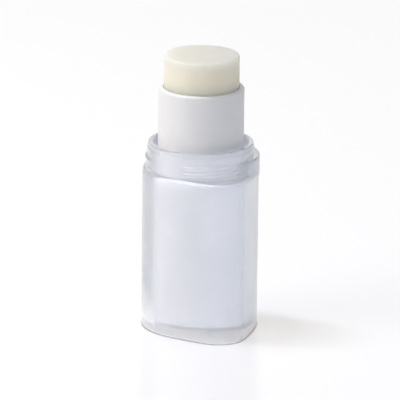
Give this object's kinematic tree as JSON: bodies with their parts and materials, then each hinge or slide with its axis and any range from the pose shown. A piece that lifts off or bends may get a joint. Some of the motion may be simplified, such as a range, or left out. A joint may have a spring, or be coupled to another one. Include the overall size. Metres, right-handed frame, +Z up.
{
  "type": "twist-up sunscreen stick",
  "caption": "Round balm stick in a white sleeve that winds up out of a frosted oval body with a screw neck.",
  "frame": {"origin": "middle of the flat base, on the axis of the screw neck", "axes": "+Z up along the neck, +Y along the oval's long axis, +X towards the tall index lug"},
  "size_m": [0.0373, 0.0494, 0.0889],
  "materials": {
    "frosted_polypropylene": "frosted, translucent, moulded",
    "white_polypropylene": "satin white, moulded",
    "natural_acetal": "milky, moulded",
    "balm": "waxy, cast, slightly see-through"
  },
  "bodies": {
    "body": {"body_shell": "frosted_polypropylene", "spindle": "natural_acetal"},
    "turning_sleeve": {"sleeve": "white_polypropylene", "sleeve_base": "white_polypropylene"},
    "stick": {"carrier": "natural_acetal", "balm_stick": "balm"}
  },
  "joints": [
    {"name": "sleeve_turn", "type": "hinge", "parent": "body", "child": "turning_sleeve", "pos_m": [0, 0, 0.0605], "axis": [0, 0, 1], "range_deg": [-690, 2070]},
    {"name": "stick_rise", "type": "slide", "parent": "turning_sleeve", "child": "stick", "axis": [0, 0, 1], "range_m": [-0.0115, 0.0345]}
  ],
  "couplings": [
    {"joint": "stick_rise", "follows": "sleeve_turn", "m_per_rad": 0.00095493}
  ]
}
